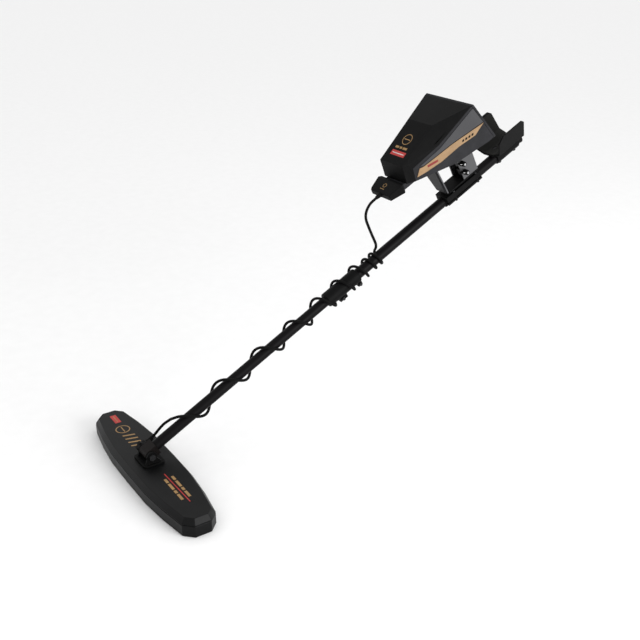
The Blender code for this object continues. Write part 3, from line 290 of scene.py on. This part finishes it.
# ---------------------------------------------------------------- materials
def material(name, colour, roughness, metallic=0.0, specular=0.5, grain=900.0, bump=0.12, depth=0.0002,
             vary=0.25, patch=30.0, stretch=(1.0, 1.0, 1.0), turn=(0.0, 0.0, 0.0), coat=0.0, sheen=0.0):
    """A procedural surface: broad patches vary its colour, and a fine grain varies its gloss and gives
    bump.
    """
    made = bpy.data.materials.new(name)
    made.use_nodes = True
    nodes, links = made.node_tree.nodes, made.node_tree.links
    shader = nodes["Principled BSDF"]
    shader.inputs["Metallic"].default_value = metallic
    shader.inputs["Specular IOR Level"].default_value = specular
    shader.inputs["Coat Weight"].default_value = coat
    shader.inputs["Coat Roughness"].default_value = 0.15
    shader.inputs["Sheen Weight"].default_value = sheen
    coordinates = nodes.new("ShaderNodeTexCoord")
    mapping = nodes.new("ShaderNodeMapping")
    mapping.inputs["Rotation"].default_value = turn
    mapping.inputs["Scale"].default_value = stretch
    links.new(coordinates.outputs["Object"], mapping.inputs["Vector"])
    broad = nodes.new("ShaderNodeTexNoise")
    broad.inputs["Scale"].default_value = patch
    broad.inputs["Detail"].default_value = 4.0
    links.new(mapping.outputs["Vector"], broad.inputs["Vector"])
    fine = nodes.new("ShaderNodeTexNoise")
    fine.inputs["Scale"].default_value = grain
    fine.inputs["Detail"].default_value = 3.0
    links.new(mapping.outputs["Vector"], fine.inputs["Vector"])
    ramp = nodes.new("ShaderNodeValToRGB")
    ramp.color_ramp.elements[0].position = 0.3
    ramp.color_ramp.elements[1].position = 0.7
    ramp.color_ramp.elements[0].color = (*[c * (1 - vary) for c in colour], 1.0)
    ramp.color_ramp.elements[1].color = (*[min(1.0, c * (1 + vary)) for c in colour], 1.0)
    links.new(broad.outputs["Fac"], ramp.inputs["Fac"])
    links.new(ramp.outputs["Color"], shader.inputs["Base Color"])
    gloss = nodes.new("ShaderNodeMapRange")
    gloss.inputs["From Min"].default_value = 0.3
    gloss.inputs["From Max"].default_value = 0.7
    gloss.inputs["To Min"].default_value = roughness * 0.88
    gloss.inputs["To Max"].default_value = min(1.0, roughness * 1.12)
    links.new(fine.outputs["Fac"], gloss.inputs["Value"])
    links.new(gloss.outputs["Result"], shader.inputs["Roughness"])
    relief = nodes.new("ShaderNodeBump")
    relief.inputs["Strength"].default_value = bump
    relief.inputs["Distance"].default_value = depth
    links.new(fine.outputs["Fac"], relief.inputs["Height"])
    links.new(relief.outputs["Normal"], shader.inputs["Normal"])
    return made


TILT = (-RAKE, 0.0, 0.0)
BLACK = material("moulded_black", (0.0030, 0.0030, 0.0031), 0.52, specular=0.06, grain=1600, bump=0.25)
COIL_BLACK = material("coil_black", (0.0028, 0.0029, 0.0031), 0.40, specular=0.12, grain=1300, bump=0.25)
SATIN = material("satin_tube", (0.0034, 0.0030, 0.0034), 0.42, specular=0.07, grain=700, bump=0.06,
                 stretch=(1.0, 0.08, 1.0), turn=TILT)
RUBBER = material("soft_rubber", (0.0025, 0.0025, 0.0025), 0.62, specular=0.08, grain=1400, bump=0.2)
GREY = material("dark_grey_moulding", (0.0150, 0.0150, 0.0170), 0.42, specular=0.12, grain=1500, bump=0.2)
BROWN = material("glass_filled_nylon", (0.0060, 0.0045, 0.0043), 0.50, specular=0.08, grain=1200, bump=0.3)
# The side panels are the upper flank of the grey shell, painted lighter than the lower shell's grey:
# painted light where the flank faces up.
FLANK_LIT_GREY = material("side_panel_painted_lit_grey", (0.044, 0.044, 0.047), 0.36, specular=0.18, grain=1500, bump=0.1,
                 vary=0.10, patch=12)
# The front leg's pale tone is a painted highlight on its lit edges.
FRONT_LEG_HIGHLIGHT = material("front_leg_painted_highlight", (0.072, 0.072, 0.076), 0.34, specular=0.25, grain=900, bump=0.1)
ALLOY = material("brushed_aluminium", (0.100, 0.100, 0.104), 0.36, metallic=0.85, grain=420, bump=0.15,
                 stretch=(1.0, 1.0, 0.05), turn=TILT, vary=0.12)
STEEL = material("bright_steel", (0.48, 0.48, 0.49), 0.26, metallic=1.0, grain=600, bump=0.08)
COPPER = material("enamelled_copper", (0.50, 0.22, 0.10), 0.35, metallic=1.0, grain=300, bump=0.3)
BOARD = material("circuit_board", (0.02, 0.12, 0.05), 0.45, grain=500, bump=0.3)
TAN = material("tan_band", (0.255, 0.158, 0.078), 0.36, specular=0.3, grain=700, bump=0.08, vary=0.16,
               patch=45, stretch=(1.0, 0.35, 1.0), turn=TILT)
DARK_RED = material("dark_red_print", (0.16, 0.012, 0.012), 0.42, specular=0.3, grain=900, bump=0.06)
GOLD = material("gold_print", (0.290, 0.170, 0.062), 0.45, specular=0.3, grain=900, bump=0.06, vary=0.2)
RED = material("red_print", (0.42, 0.024, 0.020), 0.42, specular=0.3, grain=900, bump=0.06, vary=0.15)
GLASS = material("display_glass", (0.014, 0.018, 0.021), 0.16, specular=0.25, grain=60, bump=0.0, coat=0.1)
SEGMENT = material("display_segments", (0.22, 0.27, 0.25), 0.30, grain=400, bump=0.0)
FOAM = material("cuff_foam", (0.0055, 0.0055, 0.0044), 0.85, specular=0.18, grain=2200, bump=0.5,
                sheen=0.08)
CELL = material("battery_wrap", (0.05, 0.09, 0.20), 0.40, grain=500, bump=0.1)
BLUED = material("black_oxide", (0.012, 0.012, 0.013), 0.38, specular=0.3, grain=700, bump=0.1)
# Dark material of the front leg's pad; the same material is painted shade on the front leg's forward faces.
PAD_AND_FRONT_SHADE = material("leg_pad_and_painted_front_shade", (0.0085, 0.0085, 0.0095), 0.42, specular=0.1, grain=1300, bump=0.15)
MARK = material("white_print", (0.55, 0.55, 0.55), 0.45, grain=900, bump=0.05)
DARK = material("dark_recess", (0.0025, 0.0025, 0.0025), 0.7, specular=0.1, grain=900, bump=0.05)

PAINT = {
    "lower_rod": SATIN, "upper_tube": SATIN, "rod_yoke": BROWN, "coil_bracket": BLACK,
    "coil_top_shell": COIL_BLACK, "coil_bottom_shell": COIL_BLACK, "transmit_winding": COPPER,
    "receive_winding": COPPER, "pivot_bolt": BLUED, "pivot_nut": BLACK, "pivot_washer_left": RUBBER,
    "pivot_washer_right": RUBBER, "coil_cable_gland": RUBBER, "cable_tail": RUBBER,
    "cable_winding": RUBBER, "cable_lead": RUBBER, "tube_end_cap": RUBBER, "clamp_sleeve": BLACK,
    "clamp_screw_1": BLUED, "clamp_screw_2": BLUED, "saddle_upper": BLACK, "saddle_lower": BLACK,
    "saddle_bolt_1": BLUED, "saddle_bolt_2": BLUED, "saddle_bolt_3": BLUED, "saddle_bolt_4": BLUED,
    "front_leg": FRONT_LEG_HIGHLIGHT, "front_leg_pad": PAD_AND_FRONT_SHADE, "base_plate": BLACK, "rear_leg": ALLOY,
    "selector_knob_upper": BLACK, "selector_knob_lower": BLACK, "selector_switch_upper": GREY,
    "selector_switch_lower": GREY, "housing_top_shell": BLACK, "housing_lower_shell": GREY,
    "side_panel_left": FLANK_LIT_GREY, "side_panel_right": FLANK_LIT_GREY, "side_band_left": TAN, "side_band_right": TAN,
    "rear_bezel": GREY, "control_panel": BLACK, "display_window": GLASS, "key_1": RUBBER,
    "key_2": RUBBER, "key_3": RUBBER, "power_button": STEEL, "lcd_module": BOARD,
    "main_board": BOARD, "battery_pack": CELL, "speaker": GREY, "headphone_jack": STEEL,
    "socket_block": GREY, "plug_body": BLACK, "plug_strain_relief": RUBBER, "cuff_shell": BLACK,
    "cuff_liner": FOAM, "cuff_sleeve": BLACK, "cuff_bolt_front": BLUED, "cuff_bolt_rear": BLUED,
}
# A node that no fine piece stands for shows its CAD mesh, so every node is painted.
for node, paint in PAINT.items():
    cad = frame["nodes"][node]
    cad.data.materials.clear()
    cad.data.materials.append(paint)

cables()


# ---------------------------------------------------------------- pieces from the model's own shapes
ROUNDING = {
    "housing_top_shell": 0.0008, "housing_lower_shell": 0.0006, "coil_top_shell": 0.0007,
    "coil_bottom_shell": 0.0007, "coil_bracket": 0.0008, "rod_yoke": 0.0007, "pivot_nut": 0.0005,
    "coil_cable_gland": 0.0004, "clamp_sleeve": 0.0007, "plug_body": 0.0004, "socket_block": 0.0005,
    "saddle_upper": 0.0006, "saddle_lower": 0.0005, "base_plate": 0.0006, "front_leg": 0.0005,
    "front_leg_pad": 0.0006, "rear_leg": 0.0005, "selector_knob_upper": 0.0005,
    "selector_knob_lower": 0.0005, "cuff_shell": 0.0008, "cuff_liner": 0.0006, "cuff_sleeve": 0.0006,
    "rear_bezel": 0.0006, "control_panel": 0.0003,
}
ROUNDED_ABOVE = math.radians(28)        # edges that bend more than this are rounded
WELD = 0.00002


def softened(node, width):
    """The node's own shape with its edges rounded; it stands for the node."""
    shape = bmesh.new()
    shape.from_mesh(frame["nodes"][node].data)
    bmesh.ops.remove_doubles(shape, verts=shape.verts, dist=WELD)
    bmesh.ops.dissolve_limit(shape, angle_limit=math.radians(1.0), verts=shape.verts, edges=shape.edges)
    bmesh.ops.recalc_face_normals(shape, faces=shape.faces)
    mesh = mesh_of(shape, node)
    made = link(mesh, node.replace("_", "-") + "-fine", RIDES[node], PAINT[node])
    bevel = made.modifiers.new("edges", "BEVEL")
    bevel.width = width
    bevel.segments = 2
    bevel.limit_method = "ANGLE"
    bevel.angle_limit = ROUNDED_ABOVE
    bevel.harden_normals = True
    bevel.use_clamp_overlap = True
    mesh.shade_smooth()
    mesh.set_sharp_from_angle(angle=ROUNDED_ABOVE)
    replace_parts(made, node)
    return made


def shade_front_faces(made, paint):
    """The faces of a piece that look forward take a second, darker material: painted shade on the faces
    turned from the light.
    """
    made.data.materials.append(paint)
    for face in made.data.polygons:
        if face.normal.y < -0.5:
            face.material_index = 1


def pipe(node, outer, bore, start, end, sides=72):
    """A smooth tube along the shaft with its ends eased; it stands for the node."""
    eased = 0.0005
    profile = [(bore, start + eased), (bore + eased, start), (outer - eased, start),
               (outer, start + eased), (outer, end - eased), (outer - eased, end),
               (bore + eased, end), (bore, end - eased)]
    shape = bmesh.new()
    rings = [[shape.verts.new((r * math.cos(a), s, r * math.sin(a))) for r, s in profile]
             for a in (2 * math.pi * k / sides for k in range(sides))]
    for k, here in enumerate(rings):
        after = rings[(k + 1) % sides]
        for i in range(len(profile)):
            j = (i + 1) % len(profile)
            shape.faces.new((here[i], after[i], after[j], here[j]))
    bmesh.ops.recalc_face_normals(shape, faces=shape.faces)
    name = node.replace("_", "-") + "-fine"
    mesh = mesh_of(shape, name)
    mesh.shade_smooth()
    mesh.set_sharp_from_angle(angle=math.radians(40))
    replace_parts(link(mesh, name, RIDES[node], PAINT[node], SHAFT), node)


fine = {node: softened(node, width) for node, width in ROUNDING.items()}
# Painted shade: the front leg's forward faces turn dark, while its other faces keep the pale painted
# highlight.
shade_front_faces(fine["front_leg"], PAD_AND_FRONT_SHADE)
pipe("lower_rod", *LOWER_TUBE)
pipe("upper_tube", *UPPER_TUBE)


# ---------------------------------------------------------------- printed marks and small fittings
PRINT_LOW, PRINT_THICK, SECOND_PRINT = 0.00002, 0.00015, 0.00025


def plate(name, outlines, matrix, body, paint, thick=PRINT_THICK):
    """Flat shapes raised a hair above a face; matrix puts their plane on that face."""
    shape = bmesh.new()
    for outline in outlines:
        low = [shape.verts.new((x, y, PRINT_LOW)) for x, y in outline]
        high = [shape.verts.new((x, y, thick)) for x, y in outline]
        shape.faces.new(high)
        for i in range(len(low)):
            j = (i + 1) % len(low)
            shape.faces.new((low[i], low[j], high[j], high[i]))
    bmesh.ops.recalc_face_normals(shape, faces=shape.faces)
    return link(mesh_of(shape, name), name, body, paint, matrix)


def bar(x0, y0, x1, y1, slant=0.0):
    """A rectangle, or one that leans by slant at its top."""
    return [(x0, y0), (x1, y0), (x1 + slant, y1), (x0 + slant, y1)]


def dashes(y0, y1, *spans):
    """Bars in a row, each given by its start and width."""
    return [bar(x, y0, x + width, y1) for x, width in spans]


def disc(radius, count=24):
    """The outline of a disc."""
    return [(radius * math.cos(a), radius * math.sin(a)) for a in
            (2 * math.pi * k / count for k in range(count))]


def ring(x, y, outer, width, count=28):
    """A ring as quadrilaterals."""
    made = []
    for k in range(count):
        a, b = 2 * math.pi * k / count, 2 * math.pi * (k + 1) / count
        made.append([(x + r * math.cos(c), y + r * math.sin(c))
                     for r, c in ((outer - width, a), (outer, a), (outer, b), (outer - width, b))])
    return made


def plane(origin, across, along):
    """A face's frame from shaft coordinates: X across it, Y along it, Z out of it."""
    across, along = Vector(across).normalized(), Vector(along).normalized()
    out = across.cross(along)
    matrix = Matrix((across, along, out)).transposed().to_4x4()
    matrix.translation = Vector(origin)
    return SHAFT @ matrix


def lifted(face, x, y, z):
    """A face's frame moved by x and y on it and z off it."""
    return face @ Matrix.Translation((x, y, z))


def roof_marks():
    """A ring, three dashes and a badge on the box's sloping roof."""
    roof = plane((0.0, *ROOF_START), (1, 0, 0), (0, *ROOF_SLOPE))
    sign = [*ring(-0.001, 0.0615, 0.0132, 0.0016), bar(-0.010, 0.0606, 0.008, 0.0624)]
    plate("roof-ring", sign, roof, HANDLE, GOLD)
    plate("roof-dashes", dashes(0.0372, 0.0424, (-0.0205, 0.011), (-0.0065, 0.007), (0.0035, 0.013)),
          roof, HANDLE, GOLD)
    plate("roof-badge", [bar(-0.0220, 0.0195, 0.0225, 0.0315)], roof, HANDLE, RED)
    plate("roof-badge-line", [bar(-0.0180, 0.0246, 0.0185, 0.0264)], roof, HANDLE, MARK, SECOND_PRINT)


def coil_marks():
    """A block, a ring and bars on one half of the coil's lid; a line between dashes on the other."""
    face = LEVEL @ Matrix.Translation((0.0, 0.0, COIL_TOP))
    plate("coil-block", [bar(-0.2034, -0.0058, -0.1690, 0.0074)], face, COIL, RED)
    plate("coil-block-line", [bar(-0.1990, 0.0000, -0.1735, 0.0018)], face, COIL, GOLD, SECOND_PRINT)
    sign = [*ring(-0.1385, -0.0020, 0.0155, 0.0020), bar(-0.1490, -0.0030, -0.1280, -0.0010)]
    plate("coil-ring", sign, face, COIL, GOLD)
    leaning = [bar(x, -0.0130, x + 0.0042, 0.0120, 0.0065) for x in (-0.1150, -0.1000, -0.0850, -0.0700)]
    plate("coil-bars", leaning, face, COIL, GOLD)
    line = [(0.0630, -0.0002), (0.1716, 0.0023), (0.1716, 0.0041), (0.0630, 0.0016)]
    plate("coil-line", [line], face, COIL, RED)
    rows = []
    for low, first in ((0.0074, 0.0780), (-0.0090, 0.0800)):
        rows += dashes(low, low + 0.0056, (first, 0.0145), (first + 0.0185, 0.0220),
                       (first + 0.0445, 0.0100), (first + 0.0585, 0.0205))
    plate("coil-dashes", rows, face, COIL, GOLD)


def plug_mark():
    """A small ring on the plug's top."""
    face = plane((0.0, *PLUG_START), (1, 0, 0), (0, *PLUG_SLOPE))
    sign = [*ring(-0.0020, 0.0150, 0.0052, 0.0012, 20), bar(-0.0085, 0.0048, 0.0045, 0.0062)]
    plate("plug-mark", sign, face, HANDLE, GOLD)


def flank_marks(side, word):
    """A dark red mark and four slanted bars on a flank's band, drawn by their (s, u) outlines."""
    face = plane((side * (FLANK_X + PLATE_FACE), FLANK_S, 0.0), (FLANK_TAPER, side, 0), (0, 0, 1))

    def drawn(outline):
        return [(side * FLANK_STRETCH * (s - FLANK_S), u) for s, u in outline][::side]

    mark = ((0.8070, 0.1350), (0.8330, 0.1335), (0.8335, 0.1385), (0.8075, 0.1405))
    plate("flank-mark-" + word, [drawn(mark)], face, HANDLE, DARK_RED)
    leaning = [drawn(bar(s, 0.1402, s + 0.0050, 0.1450, 0.0020)) for s in (0.8970, 0.9050, 0.9130, 0.9210)]
    plate("flank-bars-" + word, leaning, face, HANDLE, DARK)


def knob_marks(word):
    """A pale line along a selector knob's pointer, and on its boss a bright steel cap that is a painted
    highlight.
    """
    body, u = word + "_selector", KNOB_U[word]
    wing = plane((KNOB_WING_X, KNOB_S, u), (0, 1, 0), (0, 0, 1))
    ahead, up = KNOB_LEAN
    line = [(ahead * r - up * w, up * r + ahead * w) for r, w in bar(0.0066, -0.0004, 0.0122, 0.0004)]
    plate("knob-line-" + word, [line], wing, body, MARK)
    boss = plane((KNOB_BOSS_X, KNOB_S, u), (0, 1, 0), (0, 0, 1))
    # Painted highlight: a bright steel disc where the boss catches the light.
    plate("knob-highlight-cap-" + word, [disc(0.0026)], boss, body, STEEL, 0.0007)


def rear_marks():
    """A bar display behind the window, a sign on each key and a power sign on its button."""
    top, low = Vector((0.0, *REAR_TOP)), Vector((0.0, *REAR_LOW))
    rear = plane((top + low) / 2, (-1, 0, 0), top - low)
    glass = lifted(rear, 0.0, WINDOW_Y, WINDOW_FACE)
    step = 0.0068
    rising = [bar(-0.0380 + step * k, -0.0160, -0.0338 + step * k, -0.0130 + 0.0024 * k) for k in range(9)]
    plate("display-bars", rising, glass, HANDLE, SEGMENT)
    lines = [bar(-0.0410, -0.0200, 0.0410, -0.0193), bar(-0.0410, 0.0190, 0.0410, 0.0197),
             bar(0.0280, -0.0160, 0.0380, -0.0060), bar(0.0280, -0.0010, 0.0380, 0.0090)]
    plate("display-frame", lines, glass, HANDLE, SEGMENT)
    flat = bar(-0.003, -0.0004, 0.003, 0.0004)
    signs = {"first": [flat, bar(-0.0004, -0.003, 0.0004, 0.003)], "second": [flat],
             "third": [[(-0.002, -0.0024), (0.0026, 0.0), (-0.002, 0.0024)]]}
    for word, x in KEY_X.items():
        plate("key-mark-" + word, signs[word], lifted(rear, x, KEY_Y, KEY_FACE), word + "_key", MARK)
    sign = [*ring(0.0, 0.0, 0.0036, 0.0006, 24), bar(-0.0003, 0.0012, 0.0003, 0.0046)]
    plate("power-ring", sign, lifted(rear, POWER_X, KEY_Y, POWER_FACE), "power_key", MARK)


roof_marks()
coil_marks()
plug_mark()
flank_marks(1, "left")
flank_marks(-1, "right")
knob_marks("upper")
knob_marks("lower")
rear_marks()


# ---------------------------------------------------------------- floor and light
def studio():
    """A pale floor just under the object, a sky paler at its edge than overhead, and one soft light."""
    size, low = 30.0, cad_low.z - 0.0005
    floor = bpy.data.meshes.new("floor")
    corners = [(-size, -size, low), (size, -size, low), (size, size, low), (-size, size, low)]
    floor.from_pydata(corners, [], [(0, 1, 2, 3)])
    paint = material("pale_floor", (0.90, 0.90, 0.90), 0.9, specular=0.1, grain=40, bump=0.0, vary=0.01)
    link(floor, "floor", None, paint)
    world = bpy.data.worlds.new("studio")
    bpy.context.scene.world = world
    world.use_nodes = True
    nodes, links = world.node_tree.nodes, world.node_tree.links
    around = nodes.new("ShaderNodeTexCoord")
    split = nodes.new("ShaderNodeSeparateXYZ")
    fall = nodes.new("ShaderNodeMapRange")
    fall.inputs["From Min"].default_value = 0.0
    fall.inputs["From Max"].default_value = 1.0
    fall.inputs["To Min"].default_value = 1.15
    fall.inputs["To Max"].default_value = 0.90
    links.new(around.outputs["Generated"], split.inputs["Vector"])
    links.new(split.outputs["Z"], fall.inputs["Value"])
    links.new(fall.outputs["Result"], nodes["Background"].inputs["Strength"])
    nodes["Background"].inputs["Color"].default_value = (1.0, 1.0, 1.0, 1.0)
    bpy.context.scene.view_settings.view_transform = "Standard"
    area_light("key", (2.6, 0.5, 0.5), (0.0, -0.3, -0.3), (1.6, 1.6), 60.0)


studio()
